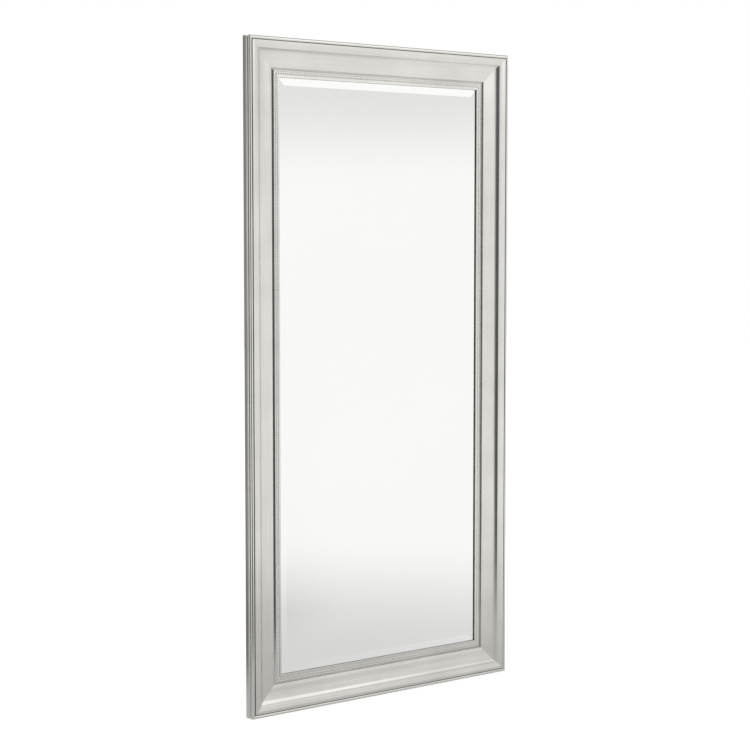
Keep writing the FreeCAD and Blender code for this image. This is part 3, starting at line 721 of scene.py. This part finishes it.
@dataclass
class BeadedSlips:
    """The four inner slips, each with its own row of small round beads.

    Attributes:
        bead_radius: radius of a bead, which sits half sunk in the channel.
        bead_pitch: from one bead to the next.
        bead_inward: where the row runs, from the frame's outer side.
        bead_base: floor of the channel, behind the crest.
    """

    size: FrameSize
    leaf: bpy.types.Material
    # A lighter copy of the leaf for the beads: painted light against the shade they catch.
    lightened_bead_leaf: bpy.types.Material
    wood: bpy.types.Material
    bead_radius: float = 3.15
    bead_pitch: float = 6.8
    bead_inward: float = 86.11
    bead_base: float = 19.6
    # Negative relief gives the ledge by the moulding a little dark wax and painted shade, and paints
    # the sight edge beside the plate darkest, as shade.
    section: Section = Section((
        Corner(66.31, 30.0, bare=True),
        Corner(66.31, 22.5, bare=True),
        Corner(73.81, 22.5),
        Corner(73.81, 20.3, relief=-0.1),
        Corner(75.01, 20.3, relief=-0.1),
        Corner(79.41, 17.5, 1.3, 1, relief=0.4),
        Corner(81.31, 17.9, relief=0.1),
        Corner(82.01, 18.9),
        Corner(90.01, 18.9),
        Corner(90.41, 17.6, relief=0.2),
        Corner(94.97, 17.6, 1.0, 1, relief=0.5),
        Corner(95.97, 18.6, relief=-0.8),
        Corner(95.97, 21.0, bare=True, relief=-1.0),
        Corner(87.97, 21.0, bare=True),
        Corner(87.97, 30.0, bare=True),
    ))

    def tree(self) -> bpy.types.NodeTree:
        """The geometry tree that sets a row of beads along a slip.

        Returns:
            The tree. Its inputs are the beads' count, pitch, radius, start and finish.
        """
        tree, given, result = new_tree("bead_row", {
            "Beads": "NodeSocketInt", "Pitch": "NodeSocketFloat", "Radius": "NodeSocketFloat",
            "First bead": "NodeSocketVector", "Finish": "NodeSocketMaterial"})
        step = add_node(tree, "ShaderNodeCombineXYZ", links={"Z": given.outputs["Pitch"]})
        row = add_node(
            tree, "GeometryNodeMeshLine",
            links={"Count": given.outputs["Beads"], "Start Location": given.outputs["First bead"],
                   "Offset": step.outputs[0]})
        bead = add_node(
            tree, "GeometryNodeMeshUVSphere", {"Segments": 12, "Rings": 7},
            {"Radius": given.outputs["Radius"]})
        set_out = add_node(
            tree, "GeometryNodeInstanceOnPoints",
            links={"Points": row.outputs[0], "Instance": bead.outputs[0]})
        real = add_node(
            tree, "GeometryNodeRealizeInstances", links={"Geometry": set_out.outputs[0]})
        smooth = add_node(
            tree, "GeometryNodeSetShadeSmooth", links={"Geometry": real.outputs[0]})
        dressed = add_node(
            tree, "GeometryNodeSetMaterial",
            links={"Geometry": smooth.outputs[0], "Material": given.outputs["Finish"]})
        both = add_node(tree, "GeometryNodeJoinGeometry")
        tree.links.new(dressed.outputs[0], both.inputs[0])
        tree.links.new(given.outputs["Geometry"], both.inputs[0])
        tree.links.new(both.outputs[0], result.inputs[0])
        return tree

    def build(self) -> list[bpy.types.Object]:
        """Builds the slips in their places.

        Returns:
            The four pieces.
        """
        pieces = []
        stick = MouldingStick(self.section, self.size)
        tree = self.tree()
        for side in Side:
            node = f"{side.value}_beaded_slip"
            piece = new_piece(
                f"{node}_moulding", stick.mesh(f"{node}_moulding", side, self.leaf, self.wood))
            room = self.size.length(side) - 2 * self.bead_inward - self.bead_pitch
            beads = int(room / self.bead_pitch) + 1
            pitch = room / (beads - 1)
            grown(piece, tree, {
                "Beads": beads, "Pitch": pitch * MM, "Radius": self.bead_radius * MM,
                "First bead": (self.bead_inward * MM, self.bead_base * MM, -room / 2 * MM),
                "Finish": self.lightened_bead_leaf})
            piece.data.transform(self.size.placing(side))
            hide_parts(node)
            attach(piece, BODY)
            pieces.append(piece)
            log.info("%s carries %d beads", piece.name, beads)
        return pieces


# ---------------------------------------------------------------- the plate


@dataclass
class MirrorPlate:
    """The bevelled plate: clear glass in front, and the silver film on its back face.

    Attributes:
        paint: the film's own backing paint, which keeps it off the foam sheet.
    """

    size: FrameSize
    glass: bpy.types.Material
    film: bpy.types.Material
    inset: float = 89.47
    front: float = 19.62
    thickness: float = 4.0
    paint: float = 0.06
    bevel_width: float = 25.0
    bevel_drop: float = 2.0

    def build(self) -> bpy.types.Object:
        """Builds the plate.

        Returns:
            The piece.
        """
        front = self.size.crest + self.front
        rings = (
            (self.inset + self.bevel_width, front),
            (self.inset, front + self.bevel_drop),
            (self.inset, front + self.thickness - self.paint),
        )
        vertices = []
        for inset, y in rings:
            x = self.size.width / 2 - inset
            low, high = inset, self.size.height - inset
            vertices += [(-x, y, low), (x, y, low), (x, y, high), (-x, y, high)]
        faces = [(0, 1, 2, 3)]
        for start in (0, 4):
            for n in range(4):
                following = (n + 1) % 4
                faces.append((start + n, start + 4 + n, start + 4 + following, start + following))
        faces.append((11, 10, 9, 8))
        mesh = bpy.data.meshes.new("mirror_plate")
        mesh.from_pydata([tuple(c * MM for c in v) for v in vertices], [], faces)
        mesh.materials.append(self.glass)
        mesh.materials.append(self.film)
        mesh.polygons[len(faces) - 1].material_index = 1
        mesh.update()
        piece = new_piece("mirror_plate", mesh)
        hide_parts("mirror_glass")
        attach(piece, BODY)
        return piece


# ---------------------------------------------------------------- fixings


@dataclass
class PanHeadScrews:
    """The cross-recess pan-head screws behind the frame, each turned as its driver left it.

    Attributes:
        recess: width, slot and depth of the cross recess.
        dome: how square the head's edge is: 1 is a half ball, and less is flatter.
        brace_line: the braces' middle line, from the frame's outer side.
        brace_steps: where the screws stand along it, from the corner.
        strap_steps: where they stand on a hanger's strap, from its eye.
        stile_eye: a stile hanger's eye, from the outer side and from the floor.
        rail_eye: a rail hanger's eye, from the left side and from the rail's outer side.
        seed: seed of the turns.
    """

    size: FrameSize
    steel: bpy.types.Material
    head_radius: float = 3.6
    head_height: float = 2.2
    shank_radius: float = 1.75
    shank_length: float = 14.0
    recess: tuple[float, float, float] = (3.6, 0.8, 1.2)
    dome: float = 0.45
    brace_plate: float = 2.0
    brace_line: float = 40.0
    brace_steps: tuple[float, float] = (58.0, 88.0)
    strap_plate: float = 1.5
    strap_steps: tuple[float, float] = (11.0, 33.0)
    stile_eye: Point = (52.0, 1336.0)
    rail_eye: Point = (200.0, 36.0)
    seed: int = 7

    def brace_places(self) -> list[tuple[float, float, float]]:
        """Where the braces' screw heads bear, in millimetres."""
        half, face = self.size.width / 2, self.size.back + self.brace_plate
        places = []
        for side in (-1, 1):
            for base, way in ((0.0, 1), (self.size.height, -1)):
                for step in self.brace_steps:
                    places.append((side * (half - self.brace_line), face, base + way * step))
                    places.append((side * (half - step), face, base + way * self.brace_line))
        return places

    def strap_places(self) -> list[tuple[float, float, float]]:
        """Where the hangers' screw heads bear, in millimetres."""
        half, face = self.size.width / 2, self.size.back + self.strap_plate
        inward, high = self.stile_eye
        across, edge = self.rail_eye
        places = [(side * (half - inward + step), face, high)
                  for side in (-1, 1) for step in self.strap_steps]
        return places + [(across - half + step, face, z)
                         for z in (edge, self.size.height - edge) for step in self.strap_steps]

    @staticmethod
    def head(tree: bpy.types.NodeTree, given: bpy.types.Node) -> bpy.types.NodeSocket:
        """Adds a screw head: a ball pressed to a flat-based dome, with a cross cut in its top.

        Args:
            tree: the tree that gets the nodes.
            given: the tree's input node.

        Returns:
            The head, standing on the origin.
        """
        ball = add_node(
            tree, "GeometryNodeMeshUVSphere", {"Segments": 24, "Rings": 18},
            {"Radius": given.outputs["Head radius"]})
        place = add_node(
            tree, "ShaderNodeSeparateXYZ", None,
            {0: add_node(tree, "GeometryNodeInputPosition").outputs[0]})
        rise = place.outputs["Z"]
        for operation, by in (
                ("DIVIDE", given.outputs["Head radius"]), ("MAXIMUM", None),
                ("POWER", given.outputs["Dome"]), ("MULTIPLY", given.outputs["Head height"])):
            links = {0: rise, 1: by} if by else {0: rise}
            rise = add_node(
                tree, "ShaderNodeMath", {1: 0.0}, links, operation=operation).outputs[0]
        pressed = add_node(
            tree, "ShaderNodeCombineXYZ", None,
            {"X": place.outputs["X"], "Y": place.outputs["Y"], "Z": rise})
        dome = add_node(
            tree, "GeometryNodeSetPosition", None,
            {"Geometry": ball.outputs["Mesh"], "Position": pressed.outputs[0]})
        slot = add_node(
            tree, "GeometryNodeMeshCube", None, {"Size": given.outputs["Recess"]})
        on_top = add_node(
            tree, "ShaderNodeCombineXYZ", None, {"Z": given.outputs["Head height"]})
        cut = add_node(
            tree, "GeometryNodeMeshBoolean", None, {0: dome.outputs[0]},
            operation="DIFFERENCE", solver="EXACT")
        for turn in (0.0, math.pi / 2):
            arm = add_node(
                tree, "GeometryNodeTransform", {"Rotation": (0.0, 0.0, turn)},
                {"Geometry": slot.outputs["Mesh"], "Translation": on_top.outputs[0]})
            tree.links.new(arm.outputs[0], cut.inputs[1])
        return cut.outputs[0]

    def tree(self) -> bpy.types.NodeTree:
        """The geometry tree that stands a screw at every point.

        Returns:
            The tree. Its inputs are the screw's sizes, the seed of its turn and its finish.
        """
        tree, given, result = new_tree("screw_at_points", {
            "Head radius": "NodeSocketFloat", "Head height": "NodeSocketFloat",
            "Shank radius": "NodeSocketFloat", "Shank length": "NodeSocketFloat",
            "Recess": "NodeSocketVector", "Dome": "NodeSocketFloat", "Seed": "NodeSocketInt",
            "Finish": "NodeSocketMaterial"})
        shank = add_node(
            tree, "GeometryNodeMeshCone", {"Vertices": 16, "Radius Top": 0.0},
            {"Radius Bottom": given.outputs["Shank radius"],
             "Depth": given.outputs["Shank length"]})
        inside = add_node(
            tree, "GeometryNodeTransform", {"Rotation": (math.pi, 0.0, 0.0)},
            {"Geometry": shank.outputs["Mesh"]})
        screw = add_node(tree, "GeometryNodeJoinGeometry")
        for part in (inside.outputs[0], self.head(tree, given)):
            tree.links.new(part, screw.inputs[0])
        stood = add_node(
            tree, "GeometryNodeInstanceOnPoints", {"Rotation": (-math.pi / 2, 0.0, 0.0)},
            {"Points": given.outputs["Geometry"], "Instance": screw.outputs[0]})
        chance = add_node(
            tree, "FunctionNodeRandomValue", {"Min": 0.0, "Max": math.pi},
            {"Seed": given.outputs["Seed"]}, data_type="FLOAT")
        spin = add_node(
            tree, "ShaderNodeCombineXYZ", None, {"Z": chance.outputs["Value"]})
        turned = add_node(
            tree, "GeometryNodeRotateInstances", None,
            {"Instances": stood.outputs[0], "Rotation": spin.outputs[0]})
        real = add_node(
            tree, "GeometryNodeRealizeInstances", None, {"Geometry": turned.outputs[0]})
        dressed = add_node(
            tree, "GeometryNodeSetMaterial", None,
            {"Geometry": real.outputs[0], "Material": given.outputs["Finish"]})
        tree.links.new(dressed.outputs[0], result.inputs[0])
        return tree

    def build(self) -> list[bpy.types.Object]:
        """Builds both sets of screws in their places.

        Returns:
            The two pieces.
        """
        tree = self.tree()
        pieces = []
        for node, places in (("brace_screws", self.brace_places()),
                             ("hanger_screws", self.strap_places())):
            mesh = bpy.data.meshes.new(f"{node}_driven")
            mesh.from_pydata([tuple(c * MM for c in place) for place in places], [], [])
            piece = new_piece(f"{node}_driven", mesh)
            width, slot, depth = (c * MM for c in self.recess)
            grown(piece, tree, {
                "Head radius": self.head_radius * MM, "Head height": self.head_height * MM,
                "Shank radius": self.shank_radius * MM, "Shank length": self.shank_length * MM,
                "Recess": (width, slot, 2 * depth), "Dome": self.dome, "Seed": self.seed,
                "Finish": self.steel})
            piece.data.shade_smooth()
            piece.data.set_sharp_from_angle(angle=math.radians(35.0))
            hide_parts(node)
            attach(piece, BODY)
            pieces.append(piece)
            log.info("%s: %d screws", piece.name, len(places))
        return pieces


# ---------------------------------------------------------------- carried-over pieces


@dataclass
class FittedHardware:
    """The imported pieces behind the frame, which keep their shape and get their finish."""

    finishes: dict[str, bpy.types.Material]

    def dress(self) -> int:
        """Gives each node its material.

        Returns:
            How many nodes were dressed.
        """
        count = 0
        for name, node in frame["nodes"].items():
            if node.hide_render:
                continue
            for start, material in self.finishes.items():
                if name.startswith(start):
                    for place in node.material_slots:
                        place.material = material
                    count += 1
                    break
            else:
                raise ValueError(f"{name} has no finish")
        return count


# ---------------------------------------------------------------- studio


@dataclass(frozen=True)
class Fade:
    """A smooth fade of brightness, from 1 down or up to a level.

    Attributes:
        start: the followed value where the fade starts.
        end: the followed value where it ends.
        level: the brightness from there on.
    """

    start: float
    end: float
    level: float

    def follow(self, tree: bpy.types.NodeTree,
               source: bpy.types.NodeSocket) -> bpy.types.NodeSocket:
        """Adds the fade to a tree.

        Args:
            tree: the tree that gets the node.
            source: the value that the fade follows.

        Returns:
            The brightness.
        """
        node = add_node(
            tree, "ShaderNodeMapRange",
            {"From Min": self.start, "From Max": self.end, "To Min": 1.0, "To Max": self.level},
            {"Value": source}, interpolation_type="SMOOTHSTEP")
        return node.outputs[0]


@dataclass
class Studio:
    """Pale floor, soft light that is strongest from the right front, and the camera.

    A fade round the room follows the cosine of the angle to a side, and one by height follows the
    sine of the angle above the floor. Metal and plate each see their own brightness of the room.

    Attributes:
        camera_at: the camera's place.
        yaw: the camera's turn to the right of straight ahead, in degrees.
        pitch: how far it looks down, in degrees.
        lens: focal length over a 36 mm frame.
        shift: how far the frame is shifted, as a share of its width.
        floor_size: side of the floor.
        floor_colour: the floor's paint.
        floor_glow: what is added to the floor for the eye alone, to make it white.
        shade_middle: where the floor, seen in metal and glass, is darkest.
        shade_start: how far from there it starts to get lighter.
        shade_end: how far from there it is white.
        near_shade: how bright it is there, in the plate.
        metal_near_shade: the same, in metal.
        open_floor: how far out the floor starts to darken to the sides as the room does.
        dark_side: the way to the unlit side of the room, which metal shows as dark lines.
        metal_dark: the fade towards that side, in metal.
        plate_dark: the same, in the plate.
        metal_above: the fade from eye level upwards, in metal.
        plate_above: the same, in the plate.
        zenith: the further fade to straight overhead, in metal.
        behind: the fade towards the room behind the mirror, in metal.
        card_side: the way to a narrow light card, which metal shows as light lines.
        card: the rise towards that card, in metal; it is brighter than white.
        ambient: the even light that matt surfaces get from all sides.
        lamp_at: the lamp's place.
        lamp_size: its width.
        lamp_power: its power in watts.
    """

    camera_at: tuple[float, float, float] = (-2.5344, -3.5064, 1.1889)
    yaw: float = 35.628
    pitch: float = 3.914
    lens: float = 80.611
    shift: float = -0.03
    floor_size: float = 24.0
    floor_colour: str = "E6E6E6"
    floor_glow: float = 0.55
    shade_middle: tuple[float, float, float] = (-0.35, 0.1, 0.0)
    shade_start: float = 0.3
    shade_end: float = 2.8
    near_shade: float = 0.7
    metal_near_shade: float = 0.62
    open_floor: float = 1.0
    dark_side: tuple[float, float, float] = (-0.65, -0.76, 0.0)
    metal_dark: Fade = Fade(0.8, 0.965, 0.09)
    plate_dark: Fade = Fade(0.3, 0.7, 0.78)
    metal_above: Fade = Fade(0.03, 0.09, 0.87)
    plate_above: Fade = Fade(0.03, 0.09, 0.8)
    zenith: Fade = Fade(0.15, 0.7, 0.72)
    behind: Fade = Fade(0.1, 0.6, 0.3)
    card_side: tuple[float, float, float] = (-0.96, 0.28, 0.0)
    card: Fade = Fade(0.95, 0.985, 1.5)
    ambient: float = 0.76
    lamp_at: tuple[float, float, float] = (1.6, -3.0, 3.6)
    lamp_size: float = 4.0
    lamp_power: float = 26.0

    def build(self) -> None:
        """Builds the whole studio."""
        self.build_world()
        self.build_floor()
        self.build_lamp()
        self.build_camera()

    def round_the_room(self, tree: bpy.types.NodeTree, way: bpy.types.NodeSocket,
                       rays: bpy.types.Node) -> bpy.types.NodeSocket:
        """How bright the room is to metal or to the plate, all round.

        Args:
            tree: the tree that gets the nodes.
            way: a direction, of length 1 except on the floor close by.
            rays: the tree's light path node.

        Returns:
            The brightness, where 1 is white.
        """
        towards_dark, towards_card = (
            add_node(
                tree, "ShaderNodeVectorMath", {1: side}, {0: way},
                operation="DOT_PRODUCT").outputs["Value"]
            for side in (self.dark_side, self.card_side))
        back = add_node(tree, "ShaderNodeSeparateXYZ", None, {0: way}).outputs["Y"]
        on_metal = self.metal_dark.follow(tree, towards_dark)
        for level in (self.card.follow(tree, towards_card), self.behind.follow(tree, back)):
            on_metal = add_node(
                tree, "ShaderNodeMath", None, {0: on_metal, 1: level},
                operation="MULTIPLY").outputs[0]
        seen = add_node(
            tree, "ShaderNodeMix", None,
            {0: rays.outputs["Is Transmission Ray"], 2: on_metal,
             3: self.plate_dark.follow(tree, towards_dark)}, data_type="FLOAT")
        return seen.outputs[0]

    def build_world(self) -> None:
        """White to the eye and pale in the plate; metal sees it darken at the left and above."""
        world = bpy.data.worlds.new("studio")
        world.use_nodes = True
        tree = world.node_tree
        tree.nodes.clear()
        way = add_node(tree, "ShaderNodeTexCoord").outputs["Generated"]
        height = add_node(
            tree, "ShaderNodeSeparateXYZ", None, {0: way}).outputs["Z"]
        in_plate, on_metal, top = (
            fade.follow(tree, height)
            for fade in (self.plate_above, self.metal_above, self.zenith))
        upper = add_node(
            tree, "ShaderNodeMath", None, {0: on_metal, 1: top}, operation="MULTIPLY")
        rays = add_node(tree, "ShaderNodeLightPath")
        by_height = add_node(
            tree, "ShaderNodeMix", None,
            {0: rays.outputs["Is Transmission Ray"], 2: upper.outputs[0], 3: in_plate},
            data_type="FLOAT")
        room = add_node(
            tree, "ShaderNodeMath", None,
            {0: by_height.outputs[0], 1: self.round_the_room(tree, way, rays)},
            operation="MULTIPLY")
        soft = add_node(
            tree, "ShaderNodeMix", {3: self.ambient},
            {0: rays.outputs["Is Diffuse Ray"], 2: room.outputs[0]}, data_type="FLOAT")
        seen = add_node(
            tree, "ShaderNodeMix", {3: 1.0},
            {0: rays.outputs["Is Camera Ray"], 2: soft.outputs[0]}, data_type="FLOAT")
        light = add_node(
            tree, "ShaderNodeBackground", {"Color": (1.0, 1.0, 1.0, 1.0)},
            {"Strength": seen.outputs[0]})
        add_node(tree, "ShaderNodeOutputWorld", links={"Surface": light.outputs[0]})
        bpy.context.scene.world = world

    def build_floor(self) -> None:
        """A large pale floor that looks white and keeps the shadow; in metal and the plate it glows
        instead, with painted shade round the mirror's foot and towards the room's dark side.
        """
        half = self.floor_size / 2
        mesh = bpy.data.meshes.new("floor")
        corners = [(-half, -half, 0), (half, -half, 0), (half, half, 0), (-half, half, 0)]
        mesh.from_pydata(corners, [], [(0, 1, 2, 3)])
        material = bpy.data.materials.new("floor_paint")
        material.use_nodes = True
        tree = material.node_tree
        tree.nodes.clear()
        rays = add_node(tree, "ShaderNodeLightPath")
        glow = add_node(
            tree, "ShaderNodeMath", {1: self.floor_glow}, {0: rays.outputs["Is Camera Ray"]},
            operation="MULTIPLY")
        paint = add_node(
            tree, "ShaderNodeBsdfPrincipled",
            {"Base Color": linear(self.floor_colour), "Roughness": 0.9,
             "Specular IOR Level": 0.0, "Emission Color": (1.0, 1.0, 1.0, 1.0)},
            {"Emission Strength": glow.outputs[0]})
        # Seen in metal and the plate, the floor is a glow with painted shade: darkest round
        # shade_middle, and darker towards the room's unlit side.
        place = add_node(tree, "ShaderNodeTexCoord")
        offset = add_node(
            tree, "ShaderNodeVectorMath", {1: self.shade_middle}, {0: place.outputs["Object"]},
            operation="SUBTRACT")
        away = add_node(
            tree, "ShaderNodeVectorMath", None, {0: offset.outputs[0]}, operation="LENGTH")
        darkest = add_node(
            tree, "ShaderNodeMix", {2: self.metal_near_shade, 3: self.near_shade},
            {0: rays.outputs["Is Transmission Ray"]}, data_type="FLOAT")
        fade = add_node(
            tree, "ShaderNodeMapRange",
            {"From Min": self.shade_start, "From Max": self.shade_end, "To Max": 1.0},
            {"Value": away.outputs["Value"], "To Min": darkest.outputs[0]},
            interpolation_type="SMOOTHERSTEP")
        radius = add_node(
            tree, "ShaderNodeVectorMath", None, {0: place.outputs["Object"]},
            operation="LENGTH")
        reach = add_node(
            tree, "ShaderNodeMath", {1: self.open_floor}, {0: radius.outputs["Value"]},
            operation="MAXIMUM")
        inverse = add_node(
            tree, "ShaderNodeMath", {0: 1.0}, {1: reach.outputs[0]}, operation="DIVIDE")
        way = add_node(
            tree, "ShaderNodeVectorMath", None,
            {0: place.outputs["Object"], "Scale": inverse.outputs[0]}, operation="SCALE")
        level = add_node(
            tree, "ShaderNodeMath", None,
            {0: fade.outputs[0], 1: self.round_the_room(tree, way.outputs[0], rays)},
            operation="MULTIPLY")
        painted_floor_glow = add_node(
            tree, "ShaderNodeEmission", None, {"Strength": level.outputs[0]})
        mirrored = add_node(
            tree, "ShaderNodeMath", None,
            {0: rays.outputs["Is Glossy Ray"], 1: rays.outputs["Is Transmission Ray"]},
            operation="MAXIMUM")
        surface = add_node(
            tree, "ShaderNodeMixShader", None,
            {0: mirrored.outputs[0], 1: paint.outputs[0], 2: painted_floor_glow.outputs[0]})
        add_node(tree, "ShaderNodeOutputMaterial", links={"Surface": surface.outputs[0]})
        mesh.materials.append(material)
        new_piece("floor", mesh)

    def build_lamp(self) -> None:
        """One large soft lamp, high at the right front."""
        data = bpy.data.lights.new("soft_lamp", "AREA")
        data.shape = "DISK"
        data.size = self.lamp_size
        data.energy = self.lamp_power
        lamp = bpy.data.objects.new("soft_lamp", data)
        bpy.context.scene.collection.objects.link(lamp)
        lamp.location = self.lamp_at
        aim = Vector((0.0, 0.0, 0.9)) - lamp.location
        lamp.rotation_euler = aim.to_track_quat("-Z", "Y").to_euler()

    def build_camera(self) -> None:
        """The photograph's viewpoint, to the front left and a little above the middle."""
        data = bpy.data.cameras.new("camera")
        data.sensor_width = 36.0
        data.lens = self.lens
        data.shift_y = self.shift
        data.clip_end = 100.0
        camera = bpy.data.objects.new("camera", data)
        bpy.context.scene.collection.objects.link(camera)
        yaw, pitch = math.radians(self.yaw), math.radians(self.pitch)
        look = Vector((math.sin(yaw) * math.cos(pitch), math.cos(yaw) * math.cos(pitch),
                       -math.sin(pitch)))
        camera.location = self.camera_at
        camera.rotation_euler = look.to_track_quat("-Z", "Y").to_euler()
        bpy.context.scene.camera = camera
        bpy.context.scene.view_settings.view_transform = "Standard"


# ---------------------------------------------------------------- the object


def main() -> None:
    """Builds every piece in order and reports it."""
    logging.basicConfig(level=logging.INFO, format="%(message)s")
    size = FrameSize()
    leaf = SilverLeaf().build()
    # The beads get a lighter copy of the leaf: painted light that makes up for the shade the small
    # beads catch.
    lightened_bead_leaf = SilverLeaf(
        name="silver_leaf_beads_lightened", leaf="F7F5F0", leaf_shade="EDEBE6", on_stick=False,
        streak_width=5.0, roughness=0.36).build()
    wood = SealedWood().build()
    for piece in OuterFrame(size, leaf, wood).build():
        log.info("built %s: %d faces", piece.name, len(piece.data.polygons))
    for piece in BeadedSlips(size, leaf, lightened_bead_leaf, wood).build():
        log.info("built %s: %d faces", piece.name, len(piece.data.polygons))
    plate = MirrorPlate(size, PolishedPlate().build(), Silvering().build()).build()
    log.info("built %s: %d faces", plate.name, len(plate.data.polygons))

    zinc = ZincPlate().build()
    for piece in PanHeadScrews(size, zinc).build():
        log.info("built %s: %d faces", piece.name, len(piece.data.polygons))
    rubber = GrainedMatter(
        name="moulded_rubber", light="232323", dark="161616", grain_size=0.8,
        grain_height=0.03, cloud_size=20.0, roughness=0.66, specular=0.35).build()
    hardboard = GrainedMatter(
        name="tempered_hardboard", light="7A563A", dark="5A3D27", grain_size=3.0,
        grain_height=0.08, cloud_size=160.0, cloud_share=0.2, roughness=0.5).build()
    foam = GrainedMatter(
        name="polyethylene_foam", light="EFEFEA", dark="E2E2DC", grain_size=1.4,
        grain_height=0.1, cloud_size=60.0, roughness=0.85, specular=0.3).build()
    dressed = FittedHardware({
        "glass_setting_pads": rubber, "wall_bumper": rubber, "cushion_sheet": foam,
        "backing_board": hardboard, "backing_points": zinc, "corner_": zinc,
        "hanger_": zinc}).dress()
    log.info("dressed %d carried-over nodes", dressed)

    Studio().build()


if __name__ == "__main__":
    main()
